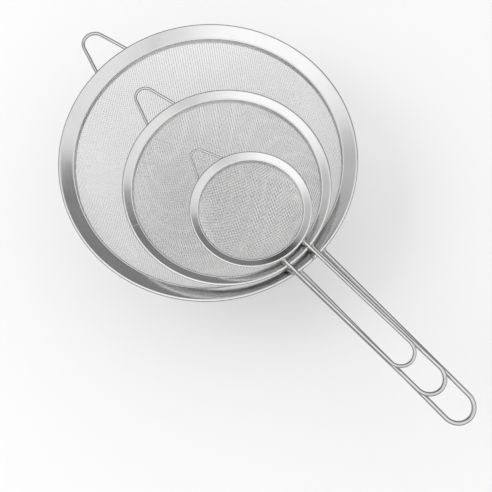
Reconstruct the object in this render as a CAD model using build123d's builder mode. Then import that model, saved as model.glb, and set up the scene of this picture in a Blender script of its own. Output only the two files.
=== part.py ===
from build123d import *
from dataclasses import dataclass
from math import cos, radians, sin, sqrt, tan
import os

# A nested set of three round hand strainers of stainless steel, mouths up, in millimetres.
# The origin is the middle of the large bowl's flat resting spot.  +Z is up, and +X runs
# along the large handle, away from its bowl.  The medium strainer lies in the large one
# with its handle's legs over the large rim, and the small one lies in the medium one in
# the same way.  Each strainer is a rim with a rolled bead, a bowl of woven wire that a
# clamp ring holds against the rim's collar, a handle loop and a hanging ear of bent wire,
# and the weld nuggets that join both to the underside of the bead.

os.makedirs("parts", exist_ok=True)

# Shared by the three strainers
BAND_SLOPE = 23.0     # fall of the rim's band towards the bowl, in degrees
RIM_SHEET = 0.5       # sheet that the rim is rolled from
CLAMP_SHEET = 0.6     # sheet of the clamp ring
MESH = 0.5            # the woven mesh, as a closed shell
CORNER_RADIUS = 0.9   # between the band and the collar, on the side that shows
CURL_SLIT = 0.4       # opening left at the free edge of the rolled bead
FOLD_GAP = 0.15       # between the band's underside and the edges of mesh and clamp ring
WELD_FILM = 0.1       # weld metal between a wire and the bead above it
WELD_SPREAD = 0.6     # how far a nugget stands out beside its wire
WELD_RISE = 0.3       # how far a nugget climbs up the bead
END_GAP = 0.15        # between a wire's end and the underside of the band
CLAMP_CLEARANCE = 0.2  # between a wire's end and the clamp ring
STACK_GAP = 0.3       # between a handle's legs and the rim that they lie over


@dataclass
class Strainer:
    """The sizes of one strainer, with its rim's top edge at height 0 and its handle along x."""

    name: str
    rim_radius: float        # outer edge of the bead
    band_run: float          # from the outer edge in to the collar
    bead: float              # radius of the bead
    collar_height: float     # turned-down inner edge of the rim
    bowl_depth: float        # from the rim's top edge down to the flat spot
    flat_radius: float       # flat spot of the bowl
    handle_wire: float       # diameter
    handle_reach: float      # from the rim's outer edge to the loop's far end
    handle_width: float      # over both legs
    ear_wire: float          # diameter
    ear_reach: float         # from the rim's outer edge to the ear's tip
    ear_spread: float        # between the ear's legs at the rim, middle to middle
    ear_tip_radius: float    # of the wire's middle line
    ear_turn: float          # how far the ear sits off the handle's line, in degrees

    @property
    def collar_radius(self):
        """Inner face of the collar."""
        return self.rim_radius - self.band_run

    @property
    def mesh_radius(self):
        """Inner face of the mesh where it is clamped."""
        return self.collar_radius + RIM_SHEET

    @property
    def clamp_radius(self):
        """Inner face of the clamp ring."""
        return self.mesh_radius + MESH

    @property
    def clamp_outer(self):
        return self.clamp_radius + CLAMP_SHEET

    @property
    def bead_radius(self):
        """Middle of the bead's section."""
        return self.rim_radius - self.bead

    def band_point(self, radius, depth):
        """The point of the band at a radius, a given depth below its upper face."""
        slope = radians(BAND_SLOPE)
        top_radius = self.bead_radius - (self.bead - depth) * sin(slope)
        top_height = -self.bead + (self.bead - depth) * cos(slope)
        return (radius, top_height - (top_radius - radius) * tan(slope))

    @property
    def collar_foot(self):
        """Height of the collar's lower edge."""
        return self.band_point(self.collar_radius, 0)[1] - self.collar_height

    @property
    def fold_height(self):
        """Height of the upper edges of the mesh and the clamp ring."""
        return self.band_point(self.mesh_radius, RIM_SHEET)[1] - FOLD_GAP

    def wire_height(self, wire):
        """Height of the middle of a wire that is welded under the bead."""
        return -2 * self.bead - WELD_FILM - wire / 2

    def wire_inset(self, wire):
        """How far in from the outer edge a welded wire reaches, short of band and clamp ring."""
        wire_top = self.wire_height(wire) + wire / 2
        under_bead = self.band_point(self.bead_radius, RIM_SHEET)[1]
        to_band = self.bead + (under_bead - wire_top - END_GAP) / tan(radians(BAND_SLOPE))
        to_clamp_ring = self.rim_radius - self.clamp_outer - CLAMP_CLEARANCE
        return min(to_band, to_clamp_ring)


LARGE = Strainer(
    name="large",
    rim_radius=100.0,
    band_run=10.4,
    bead=1.15,
    collar_height=5.0,
    bowl_depth=72.0,
    flat_radius=12.0,
    handle_wire=3.0,
    handle_reach=137.5,
    handle_width=23.5,
    ear_wire=2.4,
    ear_reach=27.6,
    ear_spread=27.0,
    ear_tip_radius=8.0,
    ear_turn=0.0,
)
MEDIUM = Strainer(
    name="medium",
    rim_radius=68.5,
    band_run=6.9,
    bead=1.1,
    collar_height=5.0,
    bowl_depth=52.0,
    flat_radius=9.0,
    handle_wire=2.8,
    handle_reach=119.4,
    handle_width=22.5,
    ear_wire=2.0,
    ear_reach=24.5,
    ear_spread=23.5,
    ear_tip_radius=6.5,
    ear_turn=-3.7,
)
SMALL = Strainer(
    name="small",
    rim_radius=39.5,
    band_run=6.0,
    bead=0.9,
    collar_height=4.5,
    bowl_depth=33.0,
    flat_radius=6.0,
    handle_wire=2.3,
    handle_reach=99.9,
    handle_width=20.0,
    ear_wire=1.6,
    ear_reach=16.5,
    ear_spread=20.5,
    ear_tip_radius=5.0,
    ear_turn=-1.5,
)

# How the smaller ones lie in the larger ones
MEDIUM_NEST_GAP = 1.1      # between its clamp ring and the large collar, along x
MEDIUM_SIDE_SHIFT = -6.1   # along y, from the large strainer
MEDIUM_TURN = 1.5          # about z, in degrees
SMALL_NEST_GAP = 2.4
SMALL_SIDE_SHIFT = -1.1
SMALL_TURN = 1.5


def seat_plane(x, y, z, turn):
    """A strainer's own plane: its rim's top edge, with x along its handle."""
    return Plane(origin=(x, y, z), x_dir=(cos(radians(turn)), sin(radians(turn)), 0), z_dir=(0, 0, 1))


def nested_seat(inner, outer, outer_seat, nest_gap, side_shift, turn):
    """The seat of a strainer whose handle's legs lie over the rim of a larger one."""
    x = outer_seat.origin.X + outer.collar_radius - nest_gap - inner.clamp_outer
    y = outer_seat.origin.Y + side_shift
    leg_foot = inner.wire_height(inner.handle_wire) - inner.handle_wire / 2
    return seat_plane(x, y, outer_seat.origin.Z + STACK_GAP - leg_foot, turn)


def upright(seat):
    """The plane of a turned profile: x away from the bowl's middle, y up."""
    return Plane(origin=seat.origin, x_dir=seat.x_dir, z_dir=-seat.y_dir)


def turning_axis(seat):
    return Axis(seat.origin, (0, 0, 1))


def save(builder, label):
    """Label a finished piece and write it to its own file."""
    builder.part.label = label
    export_step(builder.part, f"parts/{label}.step")


def make_rim(size, seat):
    """Rolled bead, sloping band and turned-down collar, as one ring of sheet."""
    slope = radians(BAND_SLOPE)
    top_start = size.bead_radius - size.bead * sin(slope)
    under_start = size.bead_radius - (size.bead - RIM_SHEET) * sin(slope)
    fold = size.band_point(size.collar_radius, 0)
    with BuildPart() as rim:
        with BuildSketch(upright(seat)) as section:
            with Locations((size.bead_radius, -size.bead)):
                Circle(size.bead)
                Circle(size.bead - RIM_SHEET, mode=Mode.SUBTRACT)
            with Locations((size.bead_radius - size.bead, -size.bead - CURL_SLIT)):
                Rectangle(size.bead, CURL_SLIT, mode=Mode.SUBTRACT)
            with BuildLine():
                Polyline(
                    size.band_point(top_start, 0),
                    fold,
                    (size.collar_radius, size.collar_foot),
                    (size.mesh_radius, size.collar_foot),
                    size.band_point(size.mesh_radius, RIM_SHEET),
                    size.band_point(under_start, RIM_SHEET),
                    close=True,
                )
            make_face()
            fillet(section.vertices().sort_by_distance(fold)[0], CORNER_RADIUS)
        revolve(axis=turning_axis(seat))
    save(rim, f"{size.name}_rim")
    return rim


def make_clamp_ring(size, seat):
    """Plain hoop outside the collar, with the mesh's edge between the two."""
    height = size.fold_height - size.collar_foot
    with BuildPart() as clamp_ring:
        with BuildSketch(upright(seat)):
            with Locations((size.clamp_radius, size.collar_foot)):
                Rectangle(CLAMP_SHEET, height, align=(Align.MIN, Align.MIN))
        revolve(axis=turning_axis(seat))
    save(clamp_ring, f"{size.name}_clamp_ring")


def bowl_arc(top, flat):
    """Three points of the arc about the bowl's axis from its top edge to its flat spot."""
    top_radius, top_height = top
    flat_radius, flat_height = flat
    centre = (top_radius**2 - flat_radius**2 + top_height**2 - flat_height**2) / (
        2 * (top_height - flat_height)
    )
    radius = sqrt(top_radius**2 + (top_height - centre) ** 2)
    middle = (top_radius + flat_radius) / 2
    return top, (middle, centre - sqrt(radius**2 - middle**2)), flat


def make_mesh_bowl(size, seat):
    """The pressed bowl of woven wire, as a closed shell, with its upright clamped edge."""
    inner_top = (size.mesh_radius, size.collar_foot)
    outer_top = (size.clamp_radius, size.collar_foot)
    inner_flat = (size.flat_radius, MESH - size.bowl_depth)
    outer_flat = (size.flat_radius, -size.bowl_depth)
    with BuildPart() as mesh_bowl:
        with BuildSketch(upright(seat)):
            with BuildLine():
                Line((size.mesh_radius, size.fold_height), inner_top)
                ThreePointArc(*bowl_arc(inner_top, inner_flat))
                Line(inner_flat, (0, inner_flat[1]))
                Line((0, inner_flat[1]), (0, outer_flat[1]))
                Line((0, outer_flat[1]), outer_flat)
                ThreePointArc(*reversed(bowl_arc(outer_top, outer_flat)))
                Line(outer_top, (size.clamp_radius, size.fold_height))
                Line((size.clamp_radius, size.fold_height), (size.mesh_radius, size.fold_height))
            make_face()
        revolve(axis=turning_axis(seat))
    save(mesh_bowl, f"{size.name}_mesh_bowl")


def make_handle(size, seat):
    """The long loop of round wire.  Its two legs start under the bead."""
    wire = size.handle_wire
    leg_y = (size.handle_width - wire) / 2
    leg_start = sqrt((size.rim_radius - size.wire_inset(wire)) ** 2 - (leg_y - wire / 2) ** 2)
    bend_centre = size.rim_radius + size.handle_reach - wire / 2 - leg_y
    with BuildPart() as handle:
        with BuildLine(seat.offset(size.wire_height(wire))) as path:
            Line((leg_start, -leg_y), (bend_centre, -leg_y))
            CenterArc((bend_centre, 0), leg_y, -90, 180)
            Line((bend_centre, leg_y), (leg_start, leg_y))
        with BuildSketch(Plane(origin=path.line @ 0, z_dir=path.line % 0)):
            Circle(wire / 2)
        sweep()
    save(handle, f"{size.name}_handle")
    return handle, [(sqrt(size.bead_radius**2 - leg_y**2), side * leg_y) for side in (-1, 1)]


def ear_plane(size, seat):
    """The ear's own plane: x from the rim's middle through the ear's tip."""
    return seat.rotated((0, 0, 180 + size.ear_turn)).offset(size.wire_height(size.ear_wire))


def make_ear(size, seat):
    """The hanging ear: two straight legs that close on a rounded tip."""
    wire = size.ear_wire
    half_spread = size.ear_spread / 2
    # The legs' lines meet at a point beyond the tip, and a round of the tip's radius that
    # touches both lines ends at the ear's reach.
    share = (size.ear_tip_radius / half_spread) ** 2
    tip_centre = size.ear_reach - wire / 2 - size.ear_tip_radius
    root = sqrt(tip_centre**2 - (1 - share) * (tip_centre**2 - size.ear_tip_radius**2))
    meeting = (tip_centre + root) / (1 - share)
    narrowing = half_spread / meeting
    inset = size.wire_inset(wire)
    foot = (size.rim_radius - inset, half_spread + inset * narrowing)
    with BuildPart() as ear:
        with BuildLine(ear_plane(size, seat)) as path:
            FilletPolyline(
                (foot[0], -foot[1]),
                (size.rim_radius + meeting, 0),
                foot,
                radius=size.ear_tip_radius,
            )
        with BuildSketch(Plane(origin=path.line @ 0, z_dir=path.line % 0)):
            Circle(wire / 2)
        sweep()
    save(ear, f"{size.name}_ear")
    cross_y = half_spread + size.bead * narrowing
    return ear, [(sqrt(size.bead_radius**2 - cross_y**2), side * cross_y) for side in (-1, 1)]


def make_nuggets(size, plane, wire, crossings, rim, loop, label):
    """Weld nuggets that fill the corner between a loop's two legs and the bead above."""
    nugget_top = -2 * size.bead + WELD_RISE
    nugget_height = nugget_top - size.wire_height(wire)
    with BuildPart() as nuggets:
        with BuildSketch(plane):
            with Locations(*crossings):
                Circle(wire / 2 + WELD_SPREAD)
        extrude(amount=nugget_height)
        add(rim.part, mode=Mode.SUBTRACT)
        add(loop.part, mode=Mode.SUBTRACT)
    save(nuggets, label)


def make_strainer(size, seat):
    """All seven pieces of one strainer."""
    rim = make_rim(size, seat)
    make_clamp_ring(size, seat)
    make_mesh_bowl(size, seat)
    handle, handle_crossings = make_handle(size, seat)
    ear, ear_crossings = make_ear(size, seat)
    handle_plane = seat.offset(size.wire_height(size.handle_wire))
    make_nuggets(size, handle_plane, size.handle_wire, handle_crossings, rim, handle,
                 f"{size.name}_handle_welds")
    make_nuggets(size, ear_plane(size, seat), size.ear_wire, ear_crossings, rim, ear,
                 f"{size.name}_ear_welds")


large_seat = seat_plane(0, 0, LARGE.bowl_depth, 0)
medium_seat = nested_seat(MEDIUM, LARGE, large_seat, MEDIUM_NEST_GAP, MEDIUM_SIDE_SHIFT, MEDIUM_TURN)
small_seat = nested_seat(SMALL, MEDIUM, medium_seat, SMALL_NEST_GAP, SMALL_SIDE_SHIFT, SMALL_TURN)

make_strainer(LARGE, large_seat)
make_strainer(MEDIUM, medium_seat)
make_strainer(SMALL, small_seat)
for size, seat in ((LARGE, large_seat), (MEDIUM, medium_seat), (SMALL, small_seat)):
    print(f"{size.name}: rim's top edge at {seat.origin.X:.2f}, {seat.origin.Y:.2f}, {seat.origin.Z:.2f}")
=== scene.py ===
from math import acos, asin, ceil, cos, pi, radians, sin, sqrt, tan

import bpy
import numpy as np
from mathutils import Matrix, Vector


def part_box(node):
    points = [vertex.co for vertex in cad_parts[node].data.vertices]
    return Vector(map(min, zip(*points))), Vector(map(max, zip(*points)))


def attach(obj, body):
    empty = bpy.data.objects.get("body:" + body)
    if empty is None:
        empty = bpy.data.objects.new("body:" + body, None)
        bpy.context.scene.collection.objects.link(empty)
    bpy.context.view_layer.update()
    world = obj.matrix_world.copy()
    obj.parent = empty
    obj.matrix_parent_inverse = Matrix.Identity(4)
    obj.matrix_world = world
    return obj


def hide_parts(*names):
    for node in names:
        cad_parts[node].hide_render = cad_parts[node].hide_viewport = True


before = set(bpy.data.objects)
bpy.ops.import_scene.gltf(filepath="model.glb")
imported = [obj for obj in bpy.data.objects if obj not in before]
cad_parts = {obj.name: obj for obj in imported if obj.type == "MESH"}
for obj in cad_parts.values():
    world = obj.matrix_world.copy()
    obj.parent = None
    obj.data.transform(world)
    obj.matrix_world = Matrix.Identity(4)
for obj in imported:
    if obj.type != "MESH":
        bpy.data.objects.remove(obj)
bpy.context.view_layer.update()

# A nested set of three round hand strainers of stainless steel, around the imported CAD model.
# Every piece is built in its strainer's own frame, with the rim's top edge at height 0 and
# the handle along +x, and then set at the strainer's seat in the shared frame.  Metres.

MM = 0.001

# As in the CAD parts
BAND_SLOPE = radians(23)
RIM_SHEET = 0.5 * MM
MESH_GAP = 0.5 * MM         # between collar and clamp ring, which the mesh's edge fills
CORNER_RADIUS = 0.9 * MM    # between band and collar, on the side that shows
WELD_SPREAD = 0.6 * MM      # how far a lump of weld stands out beside its wire
WELD_RISE = 0.3 * MM        # how far it climbs up the bead
END_GAP = 0.15 * MM         # between a wire's end and the underside of the band
CLAMP_CLEARANCE = 0.2 * MM  # between a wire's end and the clamp ring
FLAT_RADII = {"large": 12 * MM, "medium": 9 * MM, "small": 6 * MM}    # at the bowls' feet

# Finer than in the CAD parts: the rim's sheet
RIDGE_RISE = 0.15 * MM      # the band's inner edge is pressed up a little before it turns down
RIDGE_BLEND = 0.6 * MM      # radius of the hollow where the band starts to rise
BEAD_END = radians(-168)    # where the rolled bead's free edge ends, about the bead's middle
EDGE_TURNS = np.radians([60, 30, 0, -30, -60])    # steps round a rounded sheet edge
RIM_STEPS, HOOP_STEPS = 4200, 3600                # round the axis, per metre of rim radius

# The butt seams' grooves
RIM_SEAM_DEPTH, HOOP_SEAM_DEPTH = 0.08 * MM, 0.16 * MM
HOOP_SEAM_TURN = radians(24)                      # from the rim's seam
SEAM_PLACES = (-2.2, -1.0, -0.45, 0.0, 0.45, 1.0, 2.2)    # across it, in depths
SEAM_SHAPE = (0.0, 0.0, 0.35, 1.0, 0.35, 0.0, 0.0)        # how deep it is at each place
SEAM_ROOM = 1.6             # the other steps start this many times further out than the groove

# The woven wires
CLAMPED = 2.8 * MM          # length of wire held between collar and clamp ring
TUBE_SIDES = {"large": 4, "medium": 6, "small": 6}
TUBE_GROWTH = {4: 1.08, 6: 1.04}    # a tube of few sides is this much wider, to look as wide
WEAVE_PARTS = {"large": 2, "medium": 1, "small": 1}    # keeps a piece under 200,000 triangles

# The handles' and ears' wires, and their share of the map
WIRE_SIDES = 28
WIRE_CHAMFER = 0.25 * MM
WALL_MAP = 0.92             # the two cut ends have the rest of the map
END_MAP_PLACES, END_MAP_HEIGHT, END_MAP_RADIUS = (0.1, 0.3), 0.96, 0.035

# The lumps of weld
WELD_RINGS, WELD_SIDES = 14, 24
WELD_POLE = 0.06            # radians from top and bottom to the first ring
WELD_OVERLAP = 1.2          # times the height from wire to bead, to reach into both
WELD_STRETCH = 1.25         # longer along the wire than across it
ROUND_RIPPLE, TWISTED_RIPPLE = 0.04, 0.03


class Strainer:
    """One strainer's sizes.  The frame gives those that its CAD boxes show."""

    def __init__(self, name, turn, bead, handle_width, ear_spread, ear_tip_radius, ear_turn,
                 mesh_pitch, mesh_wire, weave_turn, seam_turn):
        self.name = name
        self.body = f"{name}_strainer"
        self.turn = radians(turn)
        self.bead = bead * MM
        self.handle_width = handle_width * MM
        self.ear_spread = ear_spread * MM
        self.ear_tip_radius = ear_tip_radius * MM
        self.ear_turn = radians(ear_turn)
        self.mesh_pitch = mesh_pitch * MM
        self.mesh_wire = mesh_wire * MM
        self.weave_turn = radians(weave_turn)
        self.seam_turn = radians(seam_turn)

        low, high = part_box(f"{name}_rim")
        self.centre = Vector(((low.x + high.x) / 2, (low.y + high.y) / 2, high.z))
        self.rim_radius = (high.x - low.x) / 2
        self.collar_foot = low.z - high.z
        low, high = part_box(f"{name}_clamp_ring")
        self.clamp_outer = (high.x - low.x) / 2
        low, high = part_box(f"{name}_mesh_bowl")
        self.clamp_radius = (high.x - low.x) / 2
        self.fold_height = high.z - self.centre.z
        self.bowl_floor = low.z - self.centre.z
        low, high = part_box(f"{name}_handle")
        self.handle_wire = high.z - low.z
        self.handle_height = (low.z + high.z) / 2 - self.centre.z
        self.handle_bend = (high.x - self.centre.x - self.handle_width / 2) / cos(self.turn)
        low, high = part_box(f"{name}_ear")
        self.ear_wire = high.z - low.z
        self.ear_height = (low.z + high.z) / 2 - self.centre.z
        tip = self.ear_tip_radius + self.ear_wire / 2
        self.ear_bend = (self.centre.x - low.x - tip) / cos(self.turn + self.ear_turn)

        self.mesh_radius = self.clamp_radius - MESH_GAP
        self.collar_radius = self.mesh_radius - RIM_SHEET
        self.bead_radius = self.rim_radius - self.bead

    def band_height(self, radius, depth):
        """Height of the band at a radius, a given depth below its upper face."""
        top_radius = self.bead_radius - (self.bead - depth) * sin(BAND_SLOPE)
        top_height = -self.bead + (self.bead - depth) * cos(BAND_SLOPE)
        return top_height - (top_radius - radius) * tan(BAND_SLOPE)

    def wire_inset(self, wire, height):
        """How far in from the outer edge a welded wire reaches, short of band and clamp ring."""
        under_bead = self.band_height(self.bead_radius, RIM_SHEET)
        to_band = self.bead + (under_bead - height - wire / 2 - END_GAP) / tan(BAND_SLOPE)
        return min(to_band, self.rim_radius - self.clamp_outer - CLAMP_CLEARANCE)

    def seat(self):
        """From the strainer's own frame to the shared one."""
        return Matrix.Translation(self.centre) @ Matrix.Rotation(self.turn, 4, "Z")


STRAINERS = [
    Strainer("large", turn=0, bead=1.15, handle_width=23.5, ear_spread=27, ear_tip_radius=8,
             ear_turn=0, mesh_pitch=1.7, mesh_wire=0.23, weave_turn=59.5, seam_turn=168),
    Strainer("medium", turn=1.5, bead=1.1, handle_width=22.5, ear_spread=23.5, ear_tip_radius=6.5,
             ear_turn=-3.7, mesh_pitch=1.85, mesh_wire=0.26, weave_turn=64, seam_turn=251),
    Strainer("small", turn=1.5, bead=0.9, handle_width=20, ear_spread=20.5, ear_tip_radius=5,
             ear_turn=-1.5, mesh_pitch=2.1, mesh_wire=0.3, weave_turn=160, seam_turn=184),
]


# ---------------------------------------------------------------- meshes

def make_piece(size, name, points, quads, node, material, uv=None, caps=()):
    """A smooth mesh piece from points in the strainer's own frame, set at its seat."""
    seat = np.array(size.seat())
    points = points @ seat[:3, :3].T + seat[:3, 3]
    mesh = bpy.data.meshes.new(name)
    loops = np.concatenate([quads.ravel(), *[np.array(cap) for cap in caps]]).astype(np.int32)
    totals = np.concatenate([np.full(len(quads), 4), [len(cap) for cap in caps]]).astype(np.int32)
    starts = np.concatenate([[0], np.cumsum(totals)[:-1]]).astype(np.int32)
    mesh.vertices.add(len(points))
    mesh.vertices.foreach_set("co", points.astype(np.float32).ravel())
    mesh.loops.add(len(loops))
    mesh.loops.foreach_set("vertex_index", loops)
    mesh.polygons.add(len(totals))
    mesh.polygons.foreach_set("loop_start", starts)
    mesh.polygons.foreach_set("loop_total", totals)
    mesh.polygons.foreach_set("use_smooth", np.ones(len(totals), bool))
    if uv is None:
        low = points.min(0)
        uv = ((points - low) / (points.max(0) - low).max())[loops][:, :2]
    layer = mesh.uv_layers.new(name="OFBake")
    layer.data.foreach_set("uv", uv.astype(np.float32).ravel())
    mesh.update(calc_edges=True)
    mesh.validate()
    mesh.materials.append(material)
    piece = bpy.data.objects.new(name, mesh)
    bpy.context.scene.collection.objects.link(piece)
    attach(piece, size.body)
    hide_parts(f"{size.name}_{node}")
    return piece


def turned(size, name, profile, groove, groove_turn, columns, node, material):
    """A closed profile turned about the strainer's axis, with the fine groove of a butt seam.

    Profile rows are radius, height and the outward normal's two parts."""
    fine = np.array(SEAM_PLACES) * groove / size.rim_radius
    coarse = np.linspace(0, 2 * pi, columns, endpoint=False)
    coarse = coarse[(coarse > fine[-1] * SEAM_ROOM) & (coarse < 2 * pi + fine[0] * SEAM_ROOM)]
    turns = np.concatenate([fine, coarse])
    sunk = np.zeros(len(turns))
    sunk[:len(fine)] = np.array(SEAM_SHAPE) * groove
    radius = profile[None, :, 0] - sunk[:, None] * profile[None, :, 2]
    height = profile[None, :, 1] - sunk[:, None] * profile[None, :, 3]
    around = (turns + groove_turn)[:, None]
    points = np.stack([radius * np.cos(around), radius * np.sin(around), height], -1)
    count, rows = len(turns), len(profile)
    i, j = np.meshgrid(np.arange(count), np.arange(rows), indexing="ij")
    first, second = i * rows, (i + 1) % count * rows
    j_next = (j + 1) % rows
    quads = np.stack([first + j, second + j, second + j_next, first + j_next], -1)
    u = np.append(turns - turns[0], 2 * pi) / (2 * pi)
    v = np.linspace(0, 1, rows + 1)
    corners = [(u[i], v[j]), (u[i + 1], v[j]), (u[i + 1], v[j + 1]), (u[i], v[j + 1])]
    uv = np.stack([np.stack(corner, -1) for corner in corners], 2)
    return make_piece(size, name, points.reshape(-1, 3), quads.reshape(-1, 4), node,
                      material, uv=uv.reshape(-1, 2))


def sheet_outline(line, thickness):
    """The closed profile of a sheet along a line of radius and height, with rounded edges."""
    along = np.gradient(line, axis=0)
    along /= np.linalg.norm(along, axis=1)[:, None]
    side = np.stack([-along[:, 1], along[:, 0]], -1)
    end = [np.cos(a) * along[-1] + np.sin(a) * side[-1] for a in EDGE_TURNS]
    start = [-np.cos(a) * along[0] - np.sin(a) * side[0] for a in EDGE_TURNS]
    steps = len(EDGE_TURNS)
    normals = np.concatenate([side, end, -side[::-1], start])
    middles = np.concatenate([line, [line[-1]] * steps, line[::-1], [line[0]] * steps])
    return np.concatenate([middles + thickness / 2 * normals, normals], axis=1)


def arc(centre, radius, start, end, count):
    """Points of an arc, angles in radians."""
    turns = np.linspace(start, end, count)
    return np.stack([centre[0] + radius * np.cos(turns), centre[1] + radius * np.sin(turns)], -1)


def straight(start, end, count):
    """Points between two ends, without the ends."""
    share = np.linspace(0, 1, count + 2)[1:-1, None]
    return np.array(start) * (1 - share) + np.array(end) * share


def rim_line(size):
    """Middle line of the rim's sheet: up the collar, out along the band, round the bead."""
    half = RIM_SHEET / 2
    collar = size.collar_radius + half
    collar_end = (collar, size.collar_foot + half)
    bend = CORNER_RADIUS - half
    square_on = pi / 2 + BAND_SLOPE
    corner_height = size.band_height(collar, half)
    # The ridge's middle lies a bend's radius from the collar's line, and that less the rise
    # from the band's line.  The hollow beside it touches the ridge and the band's line.
    ridge_centre = (collar + bend,
                    corner_height + bend * tan(BAND_SLOPE) - (bend - RIDGE_RISE) / cos(BAND_SLOPE))
    reach = bend + RIDGE_BLEND
    past = acos(1 - RIDGE_RISE / reach)
    hollow_centre = (ridge_centre[0] + reach * cos(square_on - past),
                     ridge_centre[1] + reach * sin(square_on - past))
    hollow = arc(hollow_centre, RIDGE_BLEND, pi + square_on - past, pi + square_on, count=7)
    bead_centre = (size.bead_radius, -size.bead)
    roll = size.bead - half
    band_end = (bead_centre[0] + roll * cos(square_on), bead_centre[1] + roll * sin(square_on))
    return np.concatenate([
        [collar_end],
        straight(collar_end, (collar, ridge_centre[1]), count=4),
        arc(ridge_centre, bend, pi, square_on - past, count=13),
        hollow[1:],
        straight(hollow[-1], band_end, count=8),
        arc(bead_centre, roll, square_on, BEAD_END, count=30),
    ])


def make_rim(size, material):
    turned(size, f"{size.name}_rolled_rim", sheet_outline(rim_line(size), RIM_SHEET),
           RIM_SEAM_DEPTH, size.seam_turn, ceil(size.rim_radius * RIM_STEPS), "rim",
           material)


def make_clamp_hoop(size, material):
    half = (size.clamp_outer - size.clamp_radius) / 2
    middle = size.clamp_radius + half
    foot, top = (middle, size.collar_foot + half), (middle, size.fold_height - half)
    line = np.concatenate([[foot], straight(foot, top, count=3), [top]])
    turned(size, f"{size.name}_clamp_hoop", sheet_outline(line, 2 * half), HOOP_SEAM_DEPTH,
           size.seam_turn + HOOP_SEAM_TURN, ceil(size.rim_radius * HOOP_STEPS), "clamp_ring",
           material)


# ---------------------------------------------------------------- woven bowls

def net_quadrant(radius, pitch, most_polar):
    """A quarter of the net that square weave makes on a ball, about its lowest point.

    Two wires run along great circles, and every other crossing lies one pitch from the two
    before it.  Rows and columns count wires, and crossings past the polar angle are nan."""
    count = ceil(most_polar * radius / pitch) + 3
    net = np.full((count, count, 3), np.nan)
    step = 2 * asin(pitch / (2 * radius))
    turns = np.arange(count) * step
    kept = turns <= most_polar
    circle = np.stack([np.sin(turns), np.zeros(count), -np.cos(turns)], -1) * radius
    net[kept, 0] = circle[kept]
    net[0, kept] = circle[kept][:, [1, 0, 2]]
    level = radius**2 - pitch**2 / 2
    for total in range(2, 2 * count - 1):
        i = np.arange(max(1, total - count + 1), min(total, count))
        j = total - i
        a, b, before = net[i - 1, j], net[i, j - 1], net[i - 1, j - 1]
        dot = (a * b).sum(-1)
        share = level / (radius**2 + dot)
        cross = np.cross(a, b)
        rest = radius**2 - share**2 * ((a + b) ** 2).sum(-1)
        reach = np.sqrt(np.maximum(rest, 0) / (cross**2).sum(-1))
        middle = share[:, None] * (a + b)
        tries = middle + reach[:, None] * cross, middle - reach[:, None] * cross
        far = ((tries[0] - before) ** 2).sum(-1) > ((tries[1] - before) ** 2).sum(-1)
        found = np.where(far[:, None], *tries)
        found[~(np.arccos(np.clip(-found[:, 2] / radius, -1, 1)) <= most_polar)] = np.nan
        net[i, j] = found
    return net


def bowl_sphere(size):
    """Radius and centre height of the ball that the bowl's outer face follows."""
    flat = FLAT_RADII[size.name]
    top, foot, floor = size.clamp_radius, size.collar_foot, size.bowl_floor
    centre = (top**2 - flat**2 + foot**2 - floor**2) / (2 * (foot - floor))
    return sqrt(top**2 + (foot - centre) ** 2), centre


def crossings(size):
    """Middle place, normal, play and side of every crossing of one bowl, as a whole net.

    Play is how far a wire's middle may leave the mesh's middle face, and side is 1 or -1 in
    turn, for which set of wires passes over."""
    thick = size.mesh_wire * TUBE_GROWTH[TUBE_SIDES[size.name]]
    outer, centre = bowl_sphere(size)
    middle = outer - thick
    held_radius = size.mesh_radius + MESH_GAP / 2
    foot_polar = asin(held_radius / middle)
    net = net_quadrant(middle, size.mesh_pitch, foot_polar + CLAMPED / middle)
    count = len(net)
    steps = np.arange(1 - count, count)
    quarter = net[np.abs(steps)[:, None], np.abs(steps)[None, :]]
    signs = np.sign(steps) + (steps == 0)
    whole = quarter * np.stack(np.broadcast_arrays(signs[:, None], signs[None, :], 1.0), -1)
    polar = np.arccos(np.clip(-whole[..., 2] / middle, -1, 1))
    around = np.arctan2(whole[..., 1], whole[..., 0]) + size.weave_turn
    held = polar > foot_polar
    radius = np.where(held, held_radius, middle * np.sin(polar))
    height = np.where(held, size.collar_foot + (polar - foot_polar) * middle,
                      centre - middle * np.cos(polar))
    flat = size.bowl_floor + thick
    on_flat = height < flat
    height = np.where(on_flat, flat, height)
    tilt = np.where(held, pi / 2, np.where(on_flat, 0, polar))
    place = np.stack([radius * np.cos(around), radius * np.sin(around), height], -1)
    normal = np.stack([np.sin(tilt) * np.cos(around), np.sin(tilt) * np.sin(around),
                       -np.cos(tilt)], -1)
    near_foot = polar > foot_polar - size.mesh_pitch / middle
    play = np.where(near_foot, (MESH_GAP - thick) / 2, thick / 2)
    side = (np.add.outer(steps, steps) % 2) * 2 - 1
    return place, normal, play, side


def weave_wire(place, normal, offset):
    """Middle line and normals of one wire, with a point at each crossing and one between."""
    line = np.empty((2 * len(place) - 1, 3))
    line[0::2] = place + offset[:, None] * normal
    line[1::2] = (place[1:] + place[:-1]) / 2
    normals = np.empty_like(line)
    normals[0::2] = normal
    normals[1::2] = normal[1:] + normal[:-1]
    return line, normals


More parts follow.
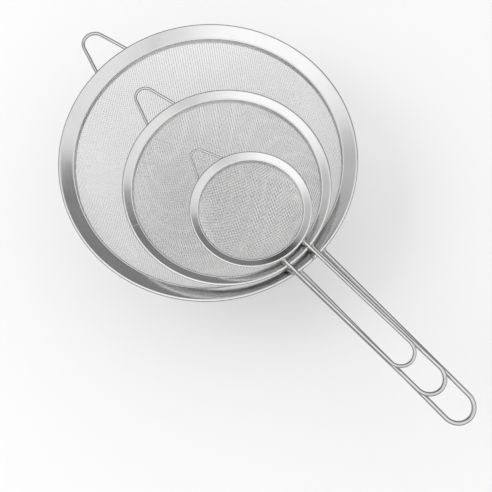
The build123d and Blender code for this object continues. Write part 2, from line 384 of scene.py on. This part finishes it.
def tubes(wires, radius, sides):
    """Points, quads and end caps of round tubes along lines, each a (line, normals) pair.

    The radius is one number, or one for each point of a line."""
    turns = np.arange(sides) * 2 * pi / sides
    reach = radius if np.isscalar(radius) else radius[:, None, None]
    all_points, all_quads, caps, first = [], [], [], 0
    for line, normals in wires:
        along = np.gradient(line, axis=0)
        along /= np.linalg.norm(along, axis=1)[:, None]
        up = normals - (normals * along).sum(1)[:, None] * along
        up /= np.linalg.norm(up, axis=1)[:, None]
        aside = np.cross(along, up)
        ring = (np.cos(turns)[None, :, None] * up[:, None]
                + np.sin(turns)[None, :, None] * aside[:, None])
        all_points.append((line[:, None] + reach * ring).reshape(-1, 3))
        i, j = np.meshgrid(np.arange(len(line) - 1), np.arange(sides), indexing="ij")
        here, ahead = i * sides, (i + 1) * sides
        j_next = (j + 1) % sides
        quads = np.stack([here + j, here + j_next, ahead + j_next, ahead + j], -1)
        all_quads.append(quads.reshape(-1, 4) + first)
        last = first + (len(line) - 1) * sides
        caps += [range(first + sides - 1, first - 1, -1), range(last, last + sides)]
        first += len(line) * sides
    return np.concatenate(all_points), np.concatenate(all_quads), caps


def make_weave(size, warp_painted_shade_metal, weft_painted_light_metal):
    """The bowl's two sets of wires, each wire passing over and under the other set's in turn."""
    net = crossings(size)
    parts, sides = WEAVE_PARTS[size.name], TUBE_SIDES[size.name]
    radius = size.mesh_wire / 2 * TUBE_GROWTH[sides]
    # The two sets wear lit and shaded copies of one steel: painted shade on the warp, painted
    # light on the weft.
    for way, title, material in ((0, "warp", warp_painted_shade_metal), (1, "weft", weft_painted_light_metal)):
        place, normal, play, side = (np.swapaxes(values, 0, way) for values in net)
        lift = play * side * (1 - 2 * way)
        wires = []
        for row in range(len(place)):
            kept = ~np.isnan(place[row, :, 0])
            if kept.sum() > 2:
                wires.append(weave_wire(place[row][kept], normal[row][kept], lift[row][kept]))
        for part in range(parts):
            share = wires[part * len(wires) // parts:(part + 1) * len(wires) // parts]
            points, quads, caps = tubes(share, radius, sides)
            make_piece(size, f"{size.name}_{title}_wires_{part + 1}", points, quads, "mesh_bowl",
                       material, caps=caps)


# ---------------------------------------------------------------- handle, ear and welds

def bent_wire(size, name, path, height, wire, turn, node, material):
    """A round wire along a flat path of x and y, with small chamfers at its two cut ends."""
    along = np.gradient(path, axis=0)
    along /= np.linalg.norm(along, axis=1)[:, None]
    path = np.concatenate([[path[0], path[0] + WIRE_CHAMFER * along[0]], path[1:-1],
                           [path[-1] - WIRE_CHAMFER * along[-1], path[-1]]])
    spin = np.array([[cos(turn), -sin(turn)], [sin(turn), cos(turn)]])
    line = np.column_stack([path @ spin.T, np.full(len(path), height)])
    up = np.tile([0.0, 0.0, 1.0], (len(line), 1))
    radius = np.full(len(line), wire / 2)
    radius[[0, -1]] -= WIRE_CHAMFER
    points, quads, caps = tubes([(line, up)], radius, WIRE_SIDES)
    length = np.append(0, np.cumsum(np.linalg.norm(np.diff(line, axis=0), axis=1)))
    length /= length[-1]
    i, j = np.meshgrid(np.arange(len(line) - 1), np.arange(WIRE_SIDES), indexing="ij")
    corners = [(length[i], j), (length[i], j + 1), (length[i + 1], j + 1), (length[i + 1], j)]
    wall = np.stack([np.stack([u, v * WALL_MAP / WIRE_SIDES], -1) for u, v in corners], 2)
    disc = np.arange(WIRE_SIDES) * 2 * pi / WIRE_SIDES
    ends = [np.column_stack([place + END_MAP_RADIUS * np.cos(disc),
                             END_MAP_HEIGHT + END_MAP_RADIUS * np.sin(disc)])
            for place in END_MAP_PLACES]
    make_piece(size, name, points, quads, node, material,
               uv=np.concatenate([wall.reshape(-1, 2), *ends]), caps=caps)


def make_handle(size, material):
    """The long loop.  Its legs start under the bead, just outside the clamp ring.

    Returns where each leg passes under the bead, and how much the leg leans there."""
    wire = size.handle_wire
    leg = (size.handle_width - wire) / 2
    inset = size.wire_inset(wire, size.handle_height)
    start = sqrt((size.rim_radius - inset) ** 2 - (leg - wire / 2) ** 2)
    bend = size.handle_bend
    path = np.concatenate([
        [(start, -leg)],
        straight((start, -leg), (bend, -leg), count=12),
        arc((bend, 0), leg, -pi / 2, pi / 2, count=49),
        straight((bend, leg), (start, leg), count=12),
        [(start, leg)],
    ])
    bent_wire(size, f"{size.name}_handle_loop", path, size.handle_height, wire, 0, "handle",
              material)
    return [(sqrt(size.bead_radius**2 - leg**2), side * leg, 0.0) for side in (-1, 1)]


def make_ear(size, material):
    """The hanging ear: two straight legs that close on a rounded tip.

    Returns the same as make_handle, in the ear's own turn."""
    half = size.ear_spread / 2
    tip = size.ear_tip_radius
    tip_centre = size.ear_bend - size.rim_radius
    share = (tip / half) ** 2
    root = sqrt(tip_centre**2 - (1 - share) * (tip_centre**2 - tip**2))
    meeting = (tip_centre + root) / (1 - share)
    lean = np.arctan2(half, meeting)
    inset = size.wire_inset(size.ear_wire, size.ear_height)
    foot = (size.rim_radius - inset, half + inset * tan(lean))
    touch = (size.ear_bend + tip * sin(lean), tip * cos(lean))
    path = np.concatenate([
        [(foot[0], -foot[1])],
        straight((foot[0], -foot[1]), (touch[0], -touch[1]), count=6),
        arc((size.ear_bend, 0), tip, lean - pi / 2, pi / 2 - lean, count=33),
        straight(touch, foot, count=6),
        [foot],
    ])
    bent_wire(size, f"{size.name}_hanging_ear", path, size.ear_height, size.ear_wire,
              pi + size.ear_turn, "ear", material)
    under_bead = half + size.bead * tan(lean)
    along = sqrt(size.bead_radius**2 - under_bead**2)
    return [(along, side * under_bead, -side * lean) for side in (-1, 1)]


def make_welds(size, title, spots, wire, height, turn, node, material):
    """One lump of weld metal where each leg passes under the bead, with a rippled skin."""
    polar = np.linspace(WELD_POLE, pi - WELD_POLE, WELD_RINGS)
    around = np.arange(WELD_SIDES) * 2 * pi / WELD_SIDES
    p, a = np.meshgrid(polar, around, indexing="ij")
    i, j = np.meshgrid(np.arange(WELD_RINGS - 1), np.arange(WELD_SIDES), indexing="ij")
    here, below = i * WELD_SIDES, (i + 1) * WELD_SIDES
    j_next = (j + 1) % WELD_SIDES
    skin = np.stack([here + j, below + j, below + j_next, here + j_next], -1).reshape(-1, 4)
    top = -2 * size.bead + WELD_RISE
    middle, half = (top + height) / 2, (top - height) / 2 * WELD_OVERLAP
    points, quads, caps = [], [], []
    for number, (x, y, lean) in enumerate(spots):
        ripple = (1 + ROUND_RIPPLE * np.sin(5 * a + number) * np.sin(p) ** 2
                  + TWISTED_RIPPLE * np.sin(7 * p + 3 * a))
        reach = (wire / 2 + WELD_SPREAD) * ripple * np.sin(p)
        ahead, aside = WELD_STRETCH * reach * np.cos(a), reach * np.sin(a)
        local_x = x + ahead * cos(lean) - aside * sin(lean)
        local_y = y + ahead * sin(lean) + aside * cos(lean)
        spun_x = local_x * cos(turn) - local_y * sin(turn)
        spun_y = local_x * sin(turn) + local_y * cos(turn)
        points.append(np.stack([spun_x, spun_y, middle + half * np.cos(p)], -1).reshape(-1, 3))
        first = number * WELD_RINGS * WELD_SIDES
        last = first + (WELD_RINGS - 1) * WELD_SIDES
        quads.append(skin + first)
        caps += [range(first, first + WELD_SIDES), range(last + WELD_SIDES - 1, last - 1, -1)]
    make_piece(size, f"{size.name}_{title}", np.concatenate(points), np.concatenate(quads), node,
               material, caps=caps)


# ---------------------------------------------------------------- materials

class Nodes:
    """A short way to build a node tree."""

    def __init__(self, tree):
        self.tree = tree

    def add(self, kind, **settings):
        node = self.tree.nodes.new(kind)
        for name, value in settings.items():
            setattr(node, name, value)
        return node

    def link(self, source, target):
        self.tree.links.new(source, target)

    def put(self, value, socket):
        """Link a socket, or set a plain value."""
        if isinstance(value, bpy.types.NodeSocket):
            self.link(value, socket)
        else:
            socket.default_value = value

    def place(self):
        """The place on the piece, in the shared frame at rest."""
        return self.add("ShaderNodeTexCoord").outputs["Object"]

    def maths(self, operation, *values):
        node = self.add("ShaderNodeMath", operation=operation)
        for value, socket in zip(values, node.inputs):
            self.put(value, socket)
        return node.outputs[0]

    def blend(self, first, second, share):
        """The first value where the share is 0, the second where it is 1."""
        node = self.add("ShaderNodeMix", data_type="FLOAT")
        self.put(share, node.inputs[0])
        self.put(first, node.inputs[2])
        self.put(second, node.inputs[3])
        return node.outputs[0]

    def noise(self, vector, scale, detail=2.0, roughness=0.5):
        node = self.add("ShaderNodeTexNoise")
        self.link(vector, node.inputs["Vector"])
        node.inputs["Scale"].default_value = scale
        node.inputs["Detail"].default_value = detail
        node.inputs["Roughness"].default_value = roughness
        return node.outputs["Fac"]

    def span(self, value, within, into, smooth=False):
        """Carry a value from one range into another, held at the ends."""
        node = self.add("ShaderNodeMapRange", clamp=True)
        node.interpolation_type = "SMOOTHSTEP" if smooth else "LINEAR"
        for number, socket in zip((value, *within, *into), node.inputs):
            self.put(number, socket)
        return node.outputs["Result"]

    def ramp(self, value, *stops):
        """A colour by a value.  Each stop is a place from 0 to 1 and its colour."""
        node = self.add("ShaderNodeValToRGB")
        elements = node.color_ramp.elements
        while len(elements) < len(stops):
            elements.new(0.5)
        for element, (place, colour) in zip(elements, stops):
            element.position = place
            element.color = (*colour, 1)
        self.link(value, node.inputs["Fac"])
        return node.outputs["Color"]

    def bump(self, height, strength, distance, over=None):
        """A bumped normal, over another one if given."""
        node = self.add("ShaderNodeBump")
        node.inputs["Strength"].default_value = strength
        node.inputs["Distance"].default_value = distance
        self.link(height, node.inputs["Height"])
        if over is not None:
            self.link(over, node.inputs["Normal"])
        return node.outputs["Normal"]


def steel(name, roughness, metallic=1.0):
    """A new metal material, its nodes and its shader's inputs.

    The roughness is the plain one, until a node is linked to that input."""
    material = bpy.data.materials.new(name)
    material.use_nodes = True
    shader = material.node_tree.nodes["Principled BSDF"]
    shader.inputs["Metallic"].default_value = metallic
    shader.inputs["Roughness"].default_value = roughness
    return material, Nodes(material.node_tree), shader.inputs


def rim_steel(size):
    """Polished sheet with faint turning marks round the rim, worn dull in places."""
    material, nodes, shader = steel(f"{size.name}_polished_sheet", roughness=0.2)
    shift = nodes.add("ShaderNodeVectorMath", operation="SUBTRACT")
    nodes.link(nodes.place(), shift.inputs[0])
    shift.inputs[1].default_value = size.centre
    from_centre = shift.outputs[0]
    split = nodes.add("ShaderNodeSeparateXYZ")
    nodes.link(from_centre, split.inputs[0])
    x, y, z = split.outputs
    squares = nodes.maths("MULTIPLY", x, x), nodes.maths("MULTIPLY", y, y)
    out = nodes.maths("SQRT", nodes.maths("ADD", *squares))
    # The marks' noise changes slowly round the rim and fast across the sheet
    marks_per_metre = 420.0
    join = nodes.add("ShaderNodeCombineXYZ")
    nodes.put(nodes.maths("DIVIDE", x, out), join.inputs[0])
    nodes.put(nodes.maths("DIVIDE", y, out), join.inputs[1])
    across = nodes.maths("SUBTRACT", out, z)
    nodes.put(nodes.maths("MULTIPLY", across, marks_per_metre), join.inputs[2])
    marks = nodes.noise(join.outputs[0], scale=5.0, detail=3.0, roughness=0.6)
    blotches = nodes.noise(from_centre, scale=38.0, detail=3.0)
    waves = nodes.noise(from_centre, scale=24.0, detail=1.0)
    polish = nodes.span(marks, within=(0.3, 0.7), into=(0.10, 0.17))
    wear = nodes.span(blotches, within=(0.45, 0.75), into=(0.0, 0.09))
    nodes.put(nodes.maths("ADD", polish, wear), shader["Roughness"])
    tone = nodes.ramp(blotches, (0.3, (0.83, 0.83, 0.83)), (0.7, (0.90, 0.90, 0.895)))
    nodes.put(tone, shader["Base Color"])
    dents = nodes.bump(waves, strength=0.35, distance=1.2 * MM)
    brushed = nodes.bump(marks, strength=0.10, distance=0.05 * MM, over=dents)
    nodes.put(brushed, shader["Normal"])
    return material


def wire_steel():
    """Bright drawn wire with faint scratches."""
    material, nodes, shader = steel("bright_drawn_wire", roughness=0.15)
    scratches = nodes.noise(nodes.place(), scale=900.0, detail=3.0)
    haze = nodes.noise(nodes.place(), scale=60.0)
    polish = nodes.span(scratches, within=(0.35, 0.7), into=(0.09, 0.15))
    wear = nodes.span(haze, within=(0.4, 0.7), into=(0.0, 0.06))
    nodes.put(nodes.maths("ADD", polish, wear), shader["Roughness"])
    tone = nodes.ramp(haze, (0.3, (0.70, 0.70, 0.70)), (0.7, (0.80, 0.80, 0.795)))
    nodes.put(tone, shader["Base Color"])
    nodes.put(nodes.bump(scratches, strength=0.12, distance=0.03 * MM), shader["Normal"])
    return material


def mesh_steel(name, grey, metallic):
    """One set of the cloth's wires, cloudy in patches.

    The warp is darker and more mirror-like than the weft: painted shade on the warp and painted
    light on the paler, more matt weft, for how the light falls on the two sets of crimped wires,
    as one set of wires looks darker in the photograph."""
    material, nodes, shader = steel(name, roughness=0.3, metallic=metallic)
    patches = nodes.noise(nodes.place(), scale=30.0, detail=3.0)
    dark = grey - 0.05
    tone = nodes.ramp(patches, (0.3, (dark, dark, dark)), (0.7, (grey, grey, grey - 0.005)))
    nodes.put(tone, shader["Base Color"])
    nodes.put(nodes.span(patches, within=(0.3, 0.7), into=(0.18, 0.3)), shader["Roughness"])
    return material


def weld_steel():
    """Weld metal: matt and grainy, with a faint straw tint from the heat."""
    material, nodes, shader = steel("weld_metal", roughness=0.4)
    grain = nodes.noise(nodes.place(), scale=1400.0, detail=4.0)
    heat = nodes.noise(nodes.place(), scale=500.0)
    tone = nodes.ramp(heat, (0.3, (0.50, 0.46, 0.41)), (0.7, (0.72, 0.71, 0.69)))
    nodes.put(tone, shader["Base Color"])
    nodes.put(nodes.span(grain, within=(0.3, 0.7), into=(0.32, 0.5)), shader["Roughness"])
    nodes.put(nodes.bump(grain, strength=0.5, distance=0.08 * MM), shader["Normal"])
    return material


# ---------------------------------------------------------------- stage, light and camera

FLOOR_HALF = 6.0
FLOOR_GREY = 0.70
FLOOR_MIRRORED_PAINTED_SHADE = 0.30  # painted shade: how pale the floor is where the steel mirrors it, darker than it is seen
FLOOR_FILL = 1.24           # even light that matt surfaces receive from all round

# The soft surround, as brightness by bearing in degrees from +x: the ring of low panels
# that the rims' near bands show, and the ceiling above them.
LOW_PANELS = [(0, 1.05), (40, 1.10), (66, 0.82), (79, 0.70), (84, 0.32), (92, 0.27), (98, 0.22),
              (142, 0.22), (150, 0.07), (166, 0.06), (172, 0.42), (186, 0.50), (206, 0.62),
              (222, 0.85), (250, 1.0), (330, 0.95)]
HIGH_PANELS = [(0, 0.70), (16, 0.72), (28, 0.88), (100, 0.80), (200, 0.86), (232, 1.10),
               (300, 1.10), (335, 0.85)]
LOW_TOP, HIGH_FOOT = radians(49), radians(53)
SKIRTING = 0.07             # the dim strip just above the horizon
SKIRTING_TOP, SKIRTING_FADE = radians(16), radians(4)
SEEN_WALL = 0.90            # what the camera sees past the floor


def make_floor():
    """A plain pale floor, level with the foot of the large bowl, with painted shade where the
    steel mirrors it.
    """
    mesh = bpy.data.meshes.new("floor")
    corners = [(-1, -1), (1, -1), (1, 1), (-1, 1)]
    mesh.from_pydata([(x * FLOOR_HALF, y * FLOOR_HALF, 0) for x, y in corners], [],
                     [(0, 1, 2, 3)])
    floor = bpy.data.objects.new("floor", mesh)
    bpy.context.scene.collection.objects.link(floor)
    material = bpy.data.materials.new("pale_floor")
    material.use_nodes = True
    shader = material.node_tree.nodes["Principled BSDF"]
    nodes = Nodes(material.node_tree)
    ray = nodes.add("ShaderNodeLightPath").outputs
    # Painted shade: the floor is darker where the steel mirrors it, for the shade round the
    # strainers that the steel's edges show.
    grey = nodes.blend(FLOOR_GREY, FLOOR_MIRRORED_PAINTED_SHADE, ray["Is Glossy Ray"])
    join = nodes.add("ShaderNodeCombineColor")
    for socket in join.inputs:
        nodes.put(grey, socket)
    nodes.put(join.outputs[0], shader.inputs["Base Color"])
    shader.inputs["Roughness"].default_value = 0.75
    shader.inputs["Specular IOR Level"].default_value = 0.2
    mesh.materials.append(material)


def panel_ring(nodes, bearing, panels):
    """Brightness by bearing from 0 to 1, closed on the first panel."""
    stops = [(turn / 360, (grey, grey, grey)) for turn, grey in panels]
    return nodes.ramp(bearing, *stops, (1.0, stops[0][1]))


def make_world():
    """A bright soft surround, with the dim part of the room low beyond the strainers."""
    world = bpy.data.worlds.new("studio")
    bpy.context.scene.world = world
    world.use_nodes = True
    nodes = Nodes(world.node_tree)
    split = nodes.add("ShaderNodeSeparateXYZ")
    nodes.link(nodes.add("ShaderNodeTexCoord").outputs["Generated"], split.inputs[0])
    x, y, z = split.outputs
    bearing = nodes.span(nodes.maths("ARCTAN2", y, x), within=(-pi, pi), into=(-0.5, 0.5))
    bearing = nodes.maths("FRACT", nodes.maths("ADD", bearing, 1.0))
    low = panel_ring(nodes, bearing, LOW_PANELS)
    high = panel_ring(nodes, bearing, HIGH_PANELS)
    height = nodes.maths("ARCSINE", z)
    upper = nodes.span(height, within=(LOW_TOP, HIGH_FOOT), into=(0.0, 1.0), smooth=True)
    lower_edge = SKIRTING_TOP, SKIRTING_TOP + SKIRTING_FADE
    raised = nodes.span(height, within=lower_edge, into=(0.0, 1.0), smooth=True)
    seen = nodes.blend(SKIRTING, nodes.blend(low, high, upper), raised)
    ray = nodes.add("ShaderNodeLightPath").outputs
    seen = nodes.blend(seen, SEEN_WALL, ray["Is Camera Ray"])
    seen = nodes.blend(seen, FLOOR_FILL, ray["Is Diffuse Ray"])
    background = world.node_tree.nodes["Background"]
    background.inputs["Color"].default_value = (1, 1, 1, 1)
    nodes.put(seen, background.inputs["Strength"])


def make_key_lamp():
    """A large soft lamp from the left, for the gentle shadow on the floor."""
    place, aim = Vector((-1.0, -1.15, 1.7)), Vector((0.05, 0, 0.03))
    lamp = bpy.data.lights.new("key", "AREA")
    lamp.shape = "RECTANGLE"
    lamp.size, lamp.size_y = 1.2, 1.2
    lamp.energy = 14
    holder = bpy.data.objects.new("key", lamp)
    holder.location = place
    holder.rotation_euler = (aim - place).to_track_quat("-Z", "Y").to_euler()
    holder.visible_glossy = False    # the steel shows the surround, not the lamp
    bpy.context.scene.collection.objects.link(holder)


def make_camera():
    """The viewing angle: high over the handle's right side, turned a little about its own axis."""
    bearing, rise, roll = radians(48.0), radians(72.95), radians(-1.16)
    aim_mm, distance_mm = Vector((60.9, -22.4, 60.0)), 540.0
    back = Vector((sin(bearing) * cos(rise), -cos(bearing) * cos(rise), sin(rise)))
    right = Vector((cos(bearing), sin(bearing), 0))
    up = back.cross(right)
    turned_right = cos(roll) * right + sin(roll) * up
    turned_up = cos(roll) * up - sin(roll) * right
    turn = Matrix((turned_right, turned_up, back)).transposed().to_4x4()
    camera_data = bpy.data.cameras.new("camera")
    camera_data.lens, camera_data.sensor_width = 60.0, 36.0
    camera_data.clip_start, camera_data.clip_end = 0.01, 50
    camera = bpy.data.objects.new("camera", camera_data)
    camera.matrix_world = Matrix.Translation(aim_mm * MM + back * distance_mm * MM) @ turn
    bpy.context.scene.collection.objects.link(camera)
    bpy.context.scene.camera = camera


make_camera()
make_floor()
make_world()
make_key_lamp()
bpy.context.scene.view_settings.view_transform = "Standard"

# One steel in two tones: the darker warp is painted shade, the paler and more matt weft is painted
# light.
warp_painted_shade_metal = mesh_steel("warp_wire", grey=0.74, metallic=0.95)
weft_painted_light_metal = mesh_steel("weft_wire", grey=0.98, metallic=0.20)
wire_metal, weld_metal = wire_steel(), weld_steel()
for size in STRAINERS:
    sheet_metal = rim_steel(size)
    make_rim(size, sheet_metal)
    make_clamp_hoop(size, sheet_metal)
    make_weave(size, warp_painted_shade_metal, weft_painted_light_metal)
    handle_spots = make_handle(size, wire_metal)
    ear_spots = make_ear(size, wire_metal)
    make_welds(size, "handle_weld_lumps", handle_spots, size.handle_wire, size.handle_height, 0,
               "handle_welds", weld_metal)
    make_welds(size, "ear_weld_lumps", ear_spots, size.ear_wire, size.ear_height,
               pi + size.ear_turn, "ear_welds", weld_metal)
